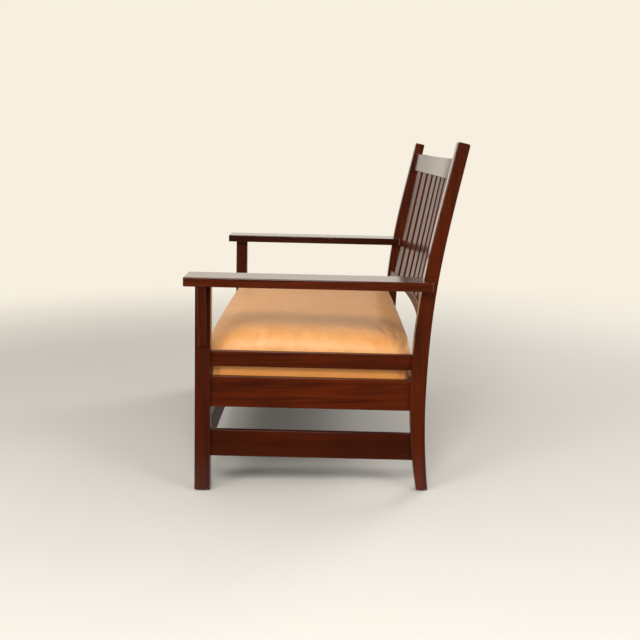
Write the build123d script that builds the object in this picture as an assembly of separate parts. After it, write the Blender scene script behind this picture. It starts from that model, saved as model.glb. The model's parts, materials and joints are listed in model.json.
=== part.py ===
"""A mission settle: a glued frame of posts, rails, slats and flat arms, and a loose leather seat.

Millimetres, +Z up, +X along the settle, the front towards -Y. Everything is laid out in a square frame,
where the front posts stand upright, and is then leaned back a little, because the rear feet are cut
shorter than the front ones. The floor is Z = 0 and the origin is the middle of the bounding box's base.
"""
from build123d import *
import math
import os

os.makedirs("parts", exist_ok=True)

# Overall layout
post_span = 1454.0            # over the outer faces of the left and right posts
lean_angle = 1.3              # degrees that the square frame leans back
front_face_y = -395.0         # front faces of the front posts
rear_line_y = 262.0           # middle of the rear posts where they stand most upright

# Posts
front_post_wide = 44.0
front_post_deep = 46.0
rear_post_wide = 44.0
rear_post_deep_seat = 47.0
rear_post_deep_foot = 33.0
rear_post_deep_top = 36.0
rear_post_top = 1036.0
upright_height = 290.0        # where the rear post is plumb
widest_height = 390.0         # where the rear post is deepest
foot_sweep_radius = 1812.0
back_sweep_radius = 2400.0
sweep_end_height = 790.0      # above this the rear post runs straight
post_ease = 3.0
post_top_ease = 5.0
sunk_below_floor = 30.0       # spare length that the floor cut removes

# Glides under the feet
glide_radius = 11.0
glide_height = 5.0
glide_ease = 1.5
glide_nail_radius = 1.5
glide_nail_length = 18.0

# Arms
arm_underside = 612.0
arm_thickness = 27.0
arm_outer_overhang = 48.0
arm_inner_overhang = 45.0
arm_front_overhang = 29.0
arm_rear_end = 290.0
arm_corner_radius = 5.0
arm_ease = 3.0
arm_tenon_side = 20.0
arm_tenon_height = 15.0
arm_tongue_wide = 28.0
arm_tongue_thick = 11.0
arm_tongue_reach = 16.0

# Corbels
corbel_length = 180.0
corbel_thickness = 25.0
corbel_reach = 42.0
corbel_tip = 8.0
corbel_belly_share = 0.40     # how far out the curve stands halfway down, between tip and reach
corbel_ease = 1.5
dowel_radius = 4.0
dowel_in_post = 14.0
dowel_in_corbel = 5.0
dowel_rise_shares = (0.25, 0.75)

# Rails
rail_inset = 12.0             # from a post's outer or front face to the rail's face
end_rail_thickness = 21.0
long_rail_thickness = 22.0
upper_rail_bottom = 371.0
upper_rail_height = 45.5
lower_rail_bottom = 248.4
lower_rail_height = 92.0
stretcher_bottom = 98.0
stretcher_height = 80.0
back_rail_setback = 2.0       # behind the rear post's front line
rail_ease = 2.0

# Tenons
tenon_thickness = 8.0
tenon_shoulder = 9.0          # above and below a tenon
end_tenon_length = 25.0
long_tenon_length = 14.0
mortise_fit = 0.1

# Back
back_rake = 10.7              # degrees, of the slats and back rails
back_hinge_y = 258.9          # a point on the raked front plane
back_hinge_z = 509.7
back_bow = 42.0               # how far the middle of the back stands behind its ends
lower_back_bottom = -35.0     # along the rake from that point
lower_back_height = 31.0
crest_bottom = 421.0
crest_height = 70.0
back_rail_thickness = 22.0
slat_count = 10
slat_width = 79.0
slat_thickness = 10.0
slat_setback = 3.0
slat_tenon = 12.0
slat_ease = 1.5
slat_fit = 0.1

# Loose seat
seat_bottom = 276.0
seat_rest_gap = 0.3
seat_gap = 2.0                # to the rails all round
seat_side_top = 414.0         # where the upright sides turn into the rounded edge, at the ends
seat_edge_radius = 64.0
seat_crown_radius = 4500.0
seat_draw = 4.0               # how far the middle of each long side pulls in
seat_long_crown = 9.0         # how far the middle of the length stands above its ends
seat_station_shares = (-1, -0.6, 0, 0.6, 1)   # where the seat's profile is drawn, of its half length
seat_end_radius = 50.0
leather = 2.0
flap = 45.0                   # leather turned under the seat frame
seat_frame_inset = 12.0
seat_board_height = 45.0
seat_board_thickness = 22.0
seat_frame_corner = 18.0
cross_board_height = 34.0
cross_board_share = 0.34      # place of the cross boards, of the half length
strap_width = 50.0
strap_thickness = 1.5
strap_lap = 16.0              # of a strap onto the boards that carry it
cross_strap_count = 14
long_strap_count = 4
cloth_thickness = 1.0
dust_thickness = 0.8
dust_inset = 32.0

# Ledges under the seat
cleat_width = 22.0
cleat_height = 25.0
block_leg = 90.0
block_height = 24.0
block_drop = 3.0
block_gap = 4.0
screw_radius = 2.0
screw_head_radius = 4.0
screw_head_height = 2.5
screw_length = 34.0
screw_hole_fit = 0.05
screw_sink = 8.0              # of a corner block's screws, below its slanted face
long_cleat_screws = 6
end_cleat_screws = 3
block_screw_share = 0.62      # place of a block's screws along its legs
overrun = 5.0                 # how far a cutting solid runs past what it cuts

# Worked out from the sizes above
post_out = post_span / 2
post_in = post_out - front_post_wide
front_post_back = front_face_y + front_post_deep
end_rail_out = post_out - rail_inset
end_rail_in = end_rail_out - end_rail_thickness
front_rail_face = front_face_y + rail_inset
front_rail_back = front_rail_face + long_rail_thickness
arm_top = arm_underside + arm_thickness
arm_front = front_face_y - arm_front_overhang
arm_in = post_in - arm_inner_overhang
arm_out = post_out + arm_outer_overhang
seat_rail_front_y = rear_line_y - rear_post_deep_seat / 2 + back_rail_setback
cleat_top = seat_bottom - seat_rest_gap
ENDS = {"left": -1, "right": 1}


def bar(low, high, axis, ease):
    """A straight piece between two corners, with its edges along one axis rounded."""
    size = Vector(*high) - Vector(*low)
    solid = Pos(*(Vector(*low) + size / 2)) * Box(*size)
    return fillet(solid.edges().filter_by(axis), ease)


def block(low, high):
    """A plain box between two corners."""
    size = Vector(*high) - Vector(*low)
    return Pos(*(Vector(*low) + size / 2)) * Box(*size)


def mirrored(solid, side):
    """A piece that was drawn at the right end, at the end that side names."""
    return solid if side > 0 else mirror(solid, Plane.YZ)


def mortise_of(corners):
    """The mortise of a tenon between two corners, with a little room on every side."""
    low, high = corners
    room = Vector(mortise_fit, mortise_fit, mortise_fit)
    return block(tuple(Vector(*low) - room), tuple(Vector(*high) + room))


# Rear post
def rear_middle(z):
    """Y of the middle of the rear post at a height: two long sweeps, then a straight rake."""
    if z < upright_height:
        return rear_line_y + (upright_height - z) ** 2 / (2 * foot_sweep_radius)
    swept = min(z, sweep_end_height) - upright_height
    slope = swept / back_sweep_radius
    return rear_line_y + swept ** 2 / (2 * back_sweep_radius) + slope * max(z - sweep_end_height, 0)


def rear_deep(z):
    """How deep the rear post is, front to back, at a height."""
    if z < widest_height:
        away = (widest_height - z) / widest_height
        return rear_post_deep_seat - (rear_post_deep_seat - rear_post_deep_foot) * away ** 2
    away = (z - widest_height) / (rear_post_top - widest_height)
    return rear_post_deep_seat - (rear_post_deep_seat - rear_post_deep_top) * away


def rear_post_blank():
    """The right rear post before its mortises, with spare length below the floor."""
    steps = 8
    heights = [-sunk_below_floor + (rear_post_top + sunk_below_floor) * i / steps for i in range(steps + 1)]
    front = [(rear_middle(z) - rear_deep(z) / 2, z) for z in heights]
    back = [(rear_middle(z) + rear_deep(z) / 2, z) for z in heights]
    slope = (sweep_end_height - upright_height) / back_sweep_radius
    back[-1] = (back[-1][0], back[-1][1] - slope * rear_post_deep_top)
    outline = Spline(*front) + Line(front[-1], back[-1]) + Spline(*back) + Line(back[0], front[0])
    side = Plane.YZ.offset(post_out - rear_post_wide) * make_face(outline)
    post = extrude(side, rear_post_wide)
    top = post.edges().filter_by(Axis.X).filter_by_position(Axis.Z, upright_height, rear_post_top)
    post = fillet(top, post_top_ease)
    return fillet(post.edges().filter_by(lambda e: e.length > upright_height), post_ease)


def front_post_blank():
    """The right front post before its mortises, with spare length below the floor."""
    return bar((post_in, front_face_y, -sunk_below_floor), (post_out, front_post_back, arm_underside),
               Axis.Z, post_ease)


# Tenons, as pairs of corners at the right end; each post is cut by its own list
def end_tenons(bottom, height):
    """The front and rear tenons of one end rail."""
    middle = (end_rail_in + end_rail_out) / 2
    x = (middle - tenon_thickness / 2, middle + tenon_thickness / 2)
    z = (bottom + tenon_shoulder, bottom + height - tenon_shoulder)
    rear_y = rear_middle(bottom) - rear_deep(bottom) / 2
    front = ((x[0], front_post_back - end_tenon_length, z[0]), (x[1], front_post_back + overrun, z[1]))
    rear = ((x[0], rear_y - overrun, z[0]), (x[1], rear_y + end_tenon_length, z[1]))
    return front, rear


def long_tenon(face_y, bottom, height):
    """The right tenon of a long rail whose front face is at face_y."""
    middle = face_y + long_rail_thickness / 2
    return ((post_in - overrun, middle - tenon_thickness / 2, bottom + tenon_shoulder),
            (post_in + long_tenon_length, middle + tenon_thickness / 2, bottom + height - tenon_shoulder))


END_RAILS = {
    "upper_end_rail": (upper_rail_bottom, upper_rail_height),
    "lower_end_rail": (lower_rail_bottom, lower_rail_height),
    "end_stretcher": (stretcher_bottom, stretcher_height),
}
LONG_RAILS = {
    "front_seat_rail": (front_rail_face, lower_rail_bottom, lower_rail_height),
    "front_stretcher": (front_rail_face, stretcher_bottom, stretcher_height),
    "back_seat_rail": (seat_rail_front_y, lower_rail_bottom, lower_rail_height),
}


def end_rail(bottom, height, post):
    """One right end rail with its tenons, its rear shoulder coped to the curved post."""
    front, rear = end_tenons(bottom, height)
    rail = bar((end_rail_in, front_post_back, bottom),
               (end_rail_out, rear_line_y, bottom + height), Axis.Y, rail_ease)
    return rail - post + block(*front) + block(*rear)


def long_rail(face_y, bottom, height):
    """One long rail with a tenon at each end."""
    rail = bar((-post_in, face_y, bottom), (post_in, face_y + long_rail_thickness, bottom + height),
               Axis.X, rail_ease)
    tenon = block(*long_tenon(face_y, bottom, height))
    return rail + tenon + mirrored(tenon, -1)


# The back is drawn upright, with its front plane at Y = 0 and Z = 0 at the hinge point, then raked
raked = Pos(0, back_hinge_y, back_hinge_z) * Rot(X=-back_rake)
bow_radius = (post_in ** 2 + back_bow ** 2) / (2 * back_bow)


def bow_at(x):
    """How far the bowed front face stands behind its ends at x."""
    return math.sqrt(bow_radius ** 2 - x ** 2) - (bow_radius - back_bow)


def back_rail_tenon(bottom, height, start):
    """The corners of a bowed rail's right tenon, before the rake."""
    middle = back_rail_thickness / 2
    return ((start, middle - tenon_thickness / 2, bottom + tenon_shoulder),
            (post_in + long_tenon_length, middle + tenon_thickness / 2, bottom + height - tenon_shoulder))


def bowed_rail(bottom, height):
    """A bowed rail with its tenons, before the rake."""
    centre = Axis((0, back_bow - bow_radius, 0), (0, 0, 1))
    half_turn = math.degrees(math.asin((post_in + overrun) / bow_radius))
    edge = chamfer(Rectangle(back_rail_thickness, height).vertices(), rail_ease)
    section = Plane.YZ * Pos(back_bow + back_rail_thickness / 2, bottom + height / 2) * edge
    ring = revolve(section, centre, 2 * half_turn).rotate(centre, -half_turn)
    rail = ring & block((-post_in, -back_bow, bottom), (post_in, 2 * back_bow, bottom + height))
    tenon = block(*back_rail_tenon(bottom, height, post_in - overrun))
    return rail + tenon + mirrored(tenon, -1)


def slat_place(index):
    """The place of a slat's front face on the bow, turned square to it."""
    x = (index - (slat_count + 1) / 2) * 2 * post_in / (slat_count + 1)
    turn = math.degrees(math.asin(x / bow_radius))
    return Pos(x, bow_at(x), 0) * Rot(Z=-turn)


def slat(index, fit):
    """One slat with its bare ends let into both rails, or its mortises if it has a fit."""
    half = slat_width / 2 + fit
    low = lower_back_bottom + lower_back_height - slat_tenon - fit
    high = crest_bottom + slat_tenon + fit
    return slat_place(index) * bar((-half, slat_setback - fit, low),
                                   (half, slat_setback + slat_thickness + fit, high), Axis.Z, slat_ease)


# Arm and corbel
def arm(post):
    """The right arm: a flat board notched round the rear post, with a tongue into it."""
    board = block((arm_in, arm_front, arm_underside), (arm_out, arm_rear_end, arm_top))
    board = fillet(board.edges().filter_by(Axis.Z), arm_corner_radius)
    rims = board.faces().filter_by(Axis.Z).edges()
    board = fillet(rims, arm_ease)
    return board - post - mortise_of(arm_tenon()) + block(*arm_tongue())


def arm_tenon():
    """The corners of the tenon on top of the right front post."""
    x = (post_in + post_out) / 2
    y = (front_face_y + front_post_back) / 2
    half = arm_tenon_side / 2
    return ((x - half, y - half, arm_underside - overrun),
            (x + half, y + half, arm_underside + arm_tenon_height))


def arm_tongue():
    """The corners of the arm's tongue into the right rear post."""
    x = post_out - rear_post_wide / 2
    y = rear_middle(arm_underside) - rear_deep(arm_underside) / 2
    z = arm_underside + arm_thickness / 2
    return ((x - arm_tongue_wide / 2, y - overrun, z - arm_tongue_thick / 2),
            (x + arm_tongue_wide / 2, y + arm_tongue_reach, z + arm_tongue_thick / 2))


def corbel():
    """The right front corbel, thick under the arm and running out to a blunt tip."""
    top, tip = arm_underside, arm_underside - corbel_length
    belly = corbel_tip + (corbel_reach - corbel_tip) * corbel_belly_share
    outer = [(post_out + corbel_reach, top), (post_out + belly, (top + tip) / 2),
             (post_out + corbel_tip, tip)]
    outline = (Line((post_out, tip), (post_out, top)) + Line((post_out, top), outer[0])
               + ThreePointArc(*outer) + Line(outer[-1], (post_out, tip)))
    middle = (front_face_y + front_post_back) / 2
    plate = extrude(Plane.XZ.offset(-middle) * make_face(outline), corbel_thickness / 2, both=True)
    return chamfer(plate.edges().filter_by(GeomType.CIRCLE), corbel_ease)


def corbel_dowels():
    """The right corbel's dowels, between it and the post."""
    y = (front_face_y + front_post_back) / 2
    length = dowel_in_post + dowel_in_corbel
    place = Pos(post_out + dowel_in_corbel - length / 2, y, 0) * Rot(Y=90)
    return [Pos(0, 0, arm_underside - corbel_length * share) * place * Cylinder(dowel_radius, length)
            for share in dowel_rise_shares]


# Ledges and their screws
def screw(point, turn, fit=0):
    """A countersunk screw whose head is flush at a point, driven along +Y and then turned about Z."""
    shank = Pos(0, screw_length / 2, 0) * Rot(X=90) * Cylinder(screw_radius + fit, screw_length)
    head = (Pos(0, screw_head_height / 2, 0) * Rot(X=90)
            * Cone(screw_radius + fit, screw_head_radius + fit, screw_head_height))
    return Pos(*point) * Rot(Z=turn) * (shank + head)


def spread(low, high, count):
    """Evenly spaced places between two limits, half a step in from each."""
    step = (high - low) / count
    return [low + step * (i + 0.5) for i in range(count)]


def corner_block(front):
    """A triangular block in a right corner, front or rear, cut back round the post."""
    wall = front_rail_back if front else seat_rail_front_y
    way = 1 if front else -1
    points = [(end_rail_in, wall), (end_rail_in - block_leg, wall), (end_rail_in, wall + way * block_leg)]
    base = cleat_top - block_drop - block_height
    return extrude(Plane.XY.offset(base) * make_face(Polyline(*points, close=True)), block_height)


def corner_screw_places(front):
    """Where that block's two screws start, and which way each turns."""
    wall = front_rail_back if front else seat_rail_front_y
    way = 1 if front else -1
    z = cleat_top - block_drop - block_height / 2
    along = block_leg * block_screw_share
    deep = block_leg - along - screw_sink
    return [((end_rail_in - along, wall + way * deep, z), 180 if front else 0),
            ((end_rail_in - deep, wall + way * along, z), -90)]


def counterbore(point, turn):
    """The flat-bottomed hole that sinks a screw's head into a block's slanted face."""
    hole = Pos(0, -screw_sink, 0) * Rot(X=90) * Cylinder(screw_head_radius + screw_hole_fit, 2 * screw_sink)
    return Pos(*point) * Rot(Z=turn) * hole


def long_cleat(front):
    """A ledge on the front or back rail, between the corner blocks."""
    end = end_rail_in - block_leg - block_gap
    y = front_rail_back if front else seat_rail_front_y - cleat_width
    return block((-end, y, cleat_top - cleat_height), (end, y + cleat_width, cleat_top))


def end_cleat():
    """A ledge on the right end rail, between the corner blocks."""
    low = front_rail_back + block_leg + block_gap
    high = seat_rail_front_y - block_leg - block_gap
    return block((end_rail_in - cleat_width, low, cleat_top - cleat_height), (end_rail_in, high, cleat_top))


def cleat_screw_places(front):
    """Where the screws of the front or rear ledge start, and which way they turn."""
    end = end_rail_in - block_leg - block_gap
    y = front_rail_back + cleat_width if front else seat_rail_front_y - cleat_width
    z = cleat_top - cleat_height / 2
    return [((x, y, z), 180 if front else 0) for x in spread(-end, end, long_cleat_screws)]


def end_cleat_screw_places():
    """Where the screws of the right end ledge start, and which way they turn."""
    low = front_rail_back + block_leg + block_gap
    high = seat_rail_front_y - block_leg - block_gap
    z = cleat_top - cleat_height / 2
    return [((end_rail_in - cleat_width, y, z), -90) for y in spread(low, high, end_cleat_screws)]


# Loose seat
seat_front_y = front_rail_back + seat_gap
seat_back_y = seat_rail_front_y - seat_gap
seat_middle_y = (seat_front_y + seat_back_y) / 2
seat_half_deep = (seat_back_y - seat_front_y) / 2
seat_half_long = end_rail_in - seat_gap
board_bottom = seat_bottom + leather
board_top = board_bottom + seat_board_height
board_half_long = seat_half_long - seat_frame_inset
board_front_y = seat_front_y + seat_frame_inset
board_back_y = seat_back_y - seat_frame_inset
cloth_top = board_top + 2 * strap_thickness + cloth_thickness


def seat_section(x, inset, draw, rise):
    """The seat's profile at x: upright sides, rounded edges and a long crown, all tangent."""
    half = seat_half_deep - inset - draw
    edge = seat_edge_radius - inset
    crown = seat_crown_radius - inset
    shoulder = seat_side_top + rise
    centre = shoulder - math.sqrt((crown - edge) ** 2 - (half - edge) ** 2)
    angle = math.degrees(math.atan2(shoulder - centre, half - edge))
    low = seat_bottom + inset
    left, right = seat_middle_y - half, seat_middle_y + half
    outline = (Line((left, low), (right, low)) + Line((right, low), (right, shoulder))
               + CenterArc((right - edge, shoulder), edge, 0, angle)
               + CenterArc((seat_middle_y, centre), crown, angle, 180 - 2 * angle)
               + CenterArc((left + edge, shoulder), edge, 180 - angle, angle)
               + Line((left, shoulder), (left, low)))
    return Plane.YZ.offset(x) * make_face(outline)


def seat_form(inset):
    """The crowned seat, or its inside: full along most of its length, and falling away at its ends."""
    end = seat_half_long - inset
    sections = []
    for share in seat_station_shares:
        full = 1 - share ** 4
        sections.append(seat_section(share * end, inset, seat_draw * full, seat_long_crown * full))
    form = loft(sections)
    rims = [face.edges().sort_by(Axis.Z)[1:] for face in (form.faces().sort_by(Axis.X)[0],
                                                          form.faces().sort_by(Axis.X)[-1])]
    return fillet(rims[0] + rims[1], seat_end_radius - inset)


def seat_boards():
    """The wooden frame of the seat; its end boards stand one strap proud, to carry the long straps."""
    inner_front = board_front_y + seat_board_thickness
    inner_back = board_back_y - seat_board_thickness
    inner_end = board_half_long - seat_board_thickness
    cross = board_half_long * cross_board_share
    half = seat_board_thickness / 2
    front = block((-board_half_long, board_front_y, board_bottom), (board_half_long, inner_front, board_top))
    back = block((-board_half_long, inner_back, board_bottom), (board_half_long, board_back_y, board_top))
    end = block((inner_end, inner_front, board_bottom),
                (board_half_long, inner_back, board_top + strap_thickness))
    brace = block((cross - half, inner_front, board_bottom),
                  (cross + half, inner_back, board_bottom + cross_board_height))
    front_corners = front.edges().filter_by(Axis.Z).group_by(Axis.Y)[0]
    back_corners = back.edges().filter_by(Axis.Z).group_by(Axis.Y)[-1]
    boards = {"seat_frame_front": fillet(front_corners, seat_frame_corner),
              "seat_frame_back": fillet(back_corners, seat_frame_corner)}
    for name, side in ENDS.items():
        boards[f"seat_frame_{name}"] = mirrored(end, side)
        boards[f"seat_frame_cross_{name}"] = mirrored(brace, side)
    return boards


def webbing():
    """Straps across the seat, and straps along it that lie on them."""
    y = (board_front_y + seat_board_thickness, board_back_y - seat_board_thickness)
    end = board_half_long - seat_board_thickness
    half = strap_width / 2
    crosswise = [block((x - half, y[0] - strap_lap, board_top),
                       (x + half, y[1] + strap_lap, board_top + strap_thickness))
                 for x in spread(-end, end, cross_strap_count)]
    lengthwise = [block((-end - strap_lap, at - half, board_top + strap_thickness),
                        (end + strap_lap, at + half, board_top + 2 * strap_thickness))
                  for at in spread(y[0], y[1], long_strap_count)]
    return crosswise, lengthwise


def seat_parts():
    """Every piece of the loose seat."""
    outside, inside = seat_form(0), seat_form(leather)
    opening = block((-seat_half_long + flap, seat_front_y + flap, seat_bottom - overrun),
                    (seat_half_long - flap, seat_back_y - flap, board_bottom + overrun))
    core = bar((-board_half_long, board_front_y, seat_bottom - overrun),
               (board_half_long, board_back_y, cloth_top), Axis.Z, seat_frame_corner)
    parts = seat_boards()
    parts["webbing_crosswise"], parts["webbing_lengthwise"] = webbing()
    parts["hessian_sheet"] = bar((-board_half_long, board_front_y, cloth_top - cloth_thickness),
                                 (board_half_long, board_back_y, cloth_top), Axis.Z, seat_frame_corner)
    parts["seat_pad"] = inside - core
    parts["leather_cover"] = outside - inside - opening
    parts["dust_cover"] = block((-seat_half_long + dust_inset, seat_front_y + dust_inset,
                                 seat_bottom - dust_thickness),
                                (seat_half_long - dust_inset, seat_back_y - dust_inset, seat_bottom))
    return parts


# The frame, drawn at the right end and mirrored to the left
def frame_parts():
    """Every piece of the frame that leans with it."""
    parts = {}
    front_blank, rear_blank = front_post_blank(), rear_post_blank()
    front_cuts = [mortise_of(end_tenons(*size)[0]) for size in END_RAILS.values()]
    rear_cuts = [mortise_of(end_tenons(*size)[1]) for size in END_RAILS.values()]
    for name, (face_y, bottom, height) in LONG_RAILS.items():
        cuts = front_cuts if name.startswith("front") else rear_cuts
        cuts.append(mortise_of(long_tenon(face_y, bottom, height)))
        parts[name] = long_rail(face_y, bottom, height)
    for name, bottom, height in (("lower_back_rail", lower_back_bottom, lower_back_height),
                                 ("crest_rail", crest_bottom, crest_height)):
        rear_cuts.append(raked * mortise_of(back_rail_tenon(bottom, height, post_in - overrun)))
        rail = bowed_rail(bottom, height)
        for index in range(1, slat_count + 1):
            rail -= slat(index, slat_fit)
        parts[name] = raked * rail
    for index in range(1, slat_count + 1):
        parts[f"back_slat_{index}"] = raked * slat(index, 0)
    rear_cuts.append(mortise_of(arm_tongue()))
    dowels = corbel_dowels()
    handed = {
        "front_post": front_blank - front_cuts - dowels + block(*arm_tenon()),
        "rear_post": rear_blank - rear_cuts,
        "arm": arm(rear_blank),
        "corbel": corbel() - dowels,
    }
    for name, size in END_RAILS.items():
        handed[name] = end_rail(*size, rear_blank)
    ledge_screws, block_screws = [], []
    for place in end_cleat_screw_places():
        handed["lower_end_rail"] -= screw(*place, screw_hole_fit)
        ledge_screws += [screw(*place), mirrored(screw(*place), -1)]
    ledge = end_cleat()
    for place in end_cleat_screw_places():
        ledge -= screw(*place, screw_hole_fit)
    handed["seat_cleat"] = ledge
    for front, name in ((True, "front"), (False, "back")):
        rail = f"{name}_seat_rail"
        wedge = corner_block(front) - (front_blank if front else rear_blank)
        ledge = long_cleat(front)
        for place in cleat_screw_places(front):
            ledge -= screw(*place, screw_hole_fit)
            parts[rail] -= screw(*place, screw_hole_fit)
            ledge_screws.append(screw(*place))
        parts[f"seat_cleat_{name}"] = ledge
        for place in corner_screw_places(front):
            hole = screw(*place, screw_hole_fit)
            wedge -= hole + counterbore(*place)
            block_screws += [screw(*place), mirrored(screw(*place), -1)]
            if place[1] == -90:
                handed["lower_end_rail"] -= hole
            else:
                parts[rail] = parts[rail] - hole - mirrored(hole, -1)
        handed[f"corner_block_{name}"] = wedge
    for name, solid in handed.items():
        for end, side in ENDS.items():
            parts[f"{name}_{end}"] = mirrored(solid, side)
    parts["cleat_screws"], parts["corner_block_screws"] = ledge_screws, block_screws
    parts["corbel_dowels"] = dowels + [mirrored(dowel, -1) for dowel in dowels]
    return parts


# Standing on the floor
lean = Rot(X=-lean_angle)


def foot_y(middle_at):
    """Y of the middle of a leaned post where it meets its glide."""
    tilt = math.radians(lean_angle)
    z = 0
    for _ in range(4):
        z = (glide_height + middle_at(z) * math.sin(tilt)) / math.cos(tilt)
    return middle_at(z) * math.cos(tilt) + z * math.sin(tilt)


def glide(x, y):
    """A round glide under a foot, with the nail that holds it."""
    disc = Pos(x, y, glide_height / 2) * Cylinder(glide_radius, glide_height)
    disc = fillet(disc.edges().group_by(Axis.Z)[0], glide_ease)
    nail = Pos(x, y, glide_height + glide_nail_length / 2) * Cylinder(glide_nail_radius, glide_nail_length)
    return disc + nail


def settle():
    """The whole settle, leaned back, cut off at its glides and centred over the origin."""
    parts = {**frame_parts(), **seat_parts()}
    placed = {}
    for name, solids in parts.items():
        group = solids if isinstance(solids, list) else [solids]
        placed[name] = [lean * solid for solid in group]
    floor = block((-post_span, -post_span, -rear_post_top), (post_span, post_span, glide_height))
    x = (post_in + post_out) / 2
    rows = {"front": foot_y(lambda z: (front_face_y + front_post_back) / 2), "rear": foot_y(rear_middle)}
    for row, y in rows.items():
        for end, side in ENDS.items():
            foot = glide(side * x, y)
            post = f"{row}_post_{end}"
            placed[post] = [placed[post][0] - floor - foot]
            placed[f"foot_glide_{row}_{end}"] = [foot]
    reach = Compound([solid for group in placed.values() for solid in group]).bounding_box()
    middle = (reach.min.Y + reach.max.Y) / 2
    return {name: Compound([Pos(0, -middle, 0) * solid for solid in group])
            for name, group in placed.items()}


for node, shape in settle().items():
    solids = shape.solids()
    export_step(solids[0] if len(solids) == 1 else Compound(solids), f"parts/{node}.step")
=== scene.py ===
"""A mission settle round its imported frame: stained mahogany, a loose leather seat and plain staging."""
import json
import logging
import math
from dataclasses import dataclass
from enum import Enum

import bmesh
import bpy
import numpy as np
from mathutils import Matrix, Vector


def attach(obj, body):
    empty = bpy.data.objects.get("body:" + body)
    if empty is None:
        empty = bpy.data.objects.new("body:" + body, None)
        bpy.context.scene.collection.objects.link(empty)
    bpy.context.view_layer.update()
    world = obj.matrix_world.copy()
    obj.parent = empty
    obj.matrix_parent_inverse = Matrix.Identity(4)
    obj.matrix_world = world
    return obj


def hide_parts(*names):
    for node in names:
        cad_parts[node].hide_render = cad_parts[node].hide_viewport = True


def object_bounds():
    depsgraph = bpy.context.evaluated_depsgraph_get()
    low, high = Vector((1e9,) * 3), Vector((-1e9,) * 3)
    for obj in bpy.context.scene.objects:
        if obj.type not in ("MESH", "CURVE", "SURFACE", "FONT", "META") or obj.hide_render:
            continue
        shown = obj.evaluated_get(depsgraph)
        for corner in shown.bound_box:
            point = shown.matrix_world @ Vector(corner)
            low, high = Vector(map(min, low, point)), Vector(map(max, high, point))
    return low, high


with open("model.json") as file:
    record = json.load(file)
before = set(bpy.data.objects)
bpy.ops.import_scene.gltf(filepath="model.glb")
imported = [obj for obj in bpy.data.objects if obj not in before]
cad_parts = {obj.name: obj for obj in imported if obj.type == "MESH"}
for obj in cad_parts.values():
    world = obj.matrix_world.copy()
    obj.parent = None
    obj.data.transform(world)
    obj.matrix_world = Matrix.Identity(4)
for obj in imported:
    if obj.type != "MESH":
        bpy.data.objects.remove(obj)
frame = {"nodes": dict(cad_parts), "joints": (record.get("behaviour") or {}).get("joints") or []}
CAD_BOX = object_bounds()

MM = 0.001
MOST = (0.3, 0.7)        # nearly all that a noise gives lies between these
NEAR = 0.01 * MM         # places closer than this are one
log = logging.getLogger("settle")

Box = tuple[Vector, Vector]
Piece = bpy.types.Object
Socket = bpy.types.NodeSocket
Span = tuple[float, float]
Tree = bpy.types.NodeTree

# The seat slides square to the leaned frame, so its axis gives the frame's lean
LIFT_AXIS = Vector(frame["joints"][0]["axis"]).normalized()
LEAN = math.atan2(LIFT_AXIS.y, LIFT_AXIS.z)
TO_WORLD = Matrix.Rotation(-LEAN, 4, "X")
TO_SQUARE = TO_WORLD.inverted()


def linear(code: str) -> tuple[float, float, float, float]:
    """Turns an sRGB hex code into a linear colour.

    Args:
        code: six hex digits after a hash sign.

    Returns:
        Red, green, blue and an alpha of one.
    """
    knee, toe, offset, power = 0.04045, 12.92, 0.055, 2.4
    channels = [int(code[i:i + 2], 16) / 255 for i in (1, 3, 5)]
    return (*[c / toe if c <= knee else ((c + offset) / (1 + offset)) ** power for c in channels], 1.0)


def feed(tree: Tree, node: bpy.types.Node, inputs: dict) -> None:
    """Sets inputs of a node, each to a value or by a link from a socket."""
    for key, value in inputs.items():
        if isinstance(value, Socket):
            tree.links.new(value, node.inputs[key])
        else:
            node.inputs[key].default_value = value


def add_node(tree: Tree, kind: str, inputs: dict | None = None, **settings) -> bpy.types.Node:
    """Adds one node to a tree.

    Args:
        tree: the node tree that gets it.
        kind: the node's type name.
        inputs: a value, or a socket to link from, for each input that is set.
        settings: the node's own properties.

    Returns:
        The new node.
    """
    node = tree.nodes.new(kind)
    for name, value in settings.items():
        setattr(node, name, value)
    feed(tree, node, inputs or {})
    return node


def object_place(tree: Tree) -> Socket:
    """Gives the place on the object, in metres."""
    return add_node(tree, "ShaderNodeTexCoord").outputs["Object"]


def stretched(tree: Tree, place: Socket, scale: tuple[float, float, float]) -> Socket:
    """Gives a place scaled along each axis."""
    return add_node(tree, "ShaderNodeMapping", {"Vector": place, "Scale": scale}).outputs["Vector"]


def noise(tree: Tree, place: Socket, scale: float, detail: float, bend: float = 0.0,
          output: str = "Fac") -> Socket:
    """Gives a soft noise.

    Args:
        tree: the node tree.
        place: where it is read.
        scale: how many of its patches there are to a metre.
        detail: how much finer noise is laid over it.
        bend: how far it is distorted.
        output: the socket wanted, Fac or Color.

    Returns:
        The noise.
    """
    return add_node(tree, "ShaderNodeTexNoise", {"Vector": place, "Scale": scale, "Detail": detail,
                                                 "Distortion": bend}).outputs[output]


def cells(tree: Tree, place: Socket, size_mm: float, feature: str = "F1") -> Socket:
    """Gives the distance within cells of a size, from their points or to their edges."""
    return add_node(tree, "ShaderNodeTexVoronoi", {"Vector": place, "Scale": 1 / (size_mm * MM)},
                    feature=feature).outputs["Distance"]


def spread(tree: Tree, value: Socket, source: Span, target: Span = (0.0, 1.0), soft: bool = False) -> Socket:
    """Carries a value from one span to another and holds it within that.

    Args:
        tree: the node tree.
        value: the value.
        source: where the span that it comes from starts and ends.
        target: where the span that it is carried to starts and ends.
        soft: whether it starts and ends softly.

    Returns:
        The value in its new span.
    """
    inputs = dict(zip(("Value", "From Min", "From Max", "To Min", "To Max"), (value, *source, *target)))
    way = "SMOOTHSTEP" if soft else "LINEAR"
    return add_node(tree, "ShaderNodeMapRange", inputs, interpolation_type=way).outputs[0]


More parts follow.
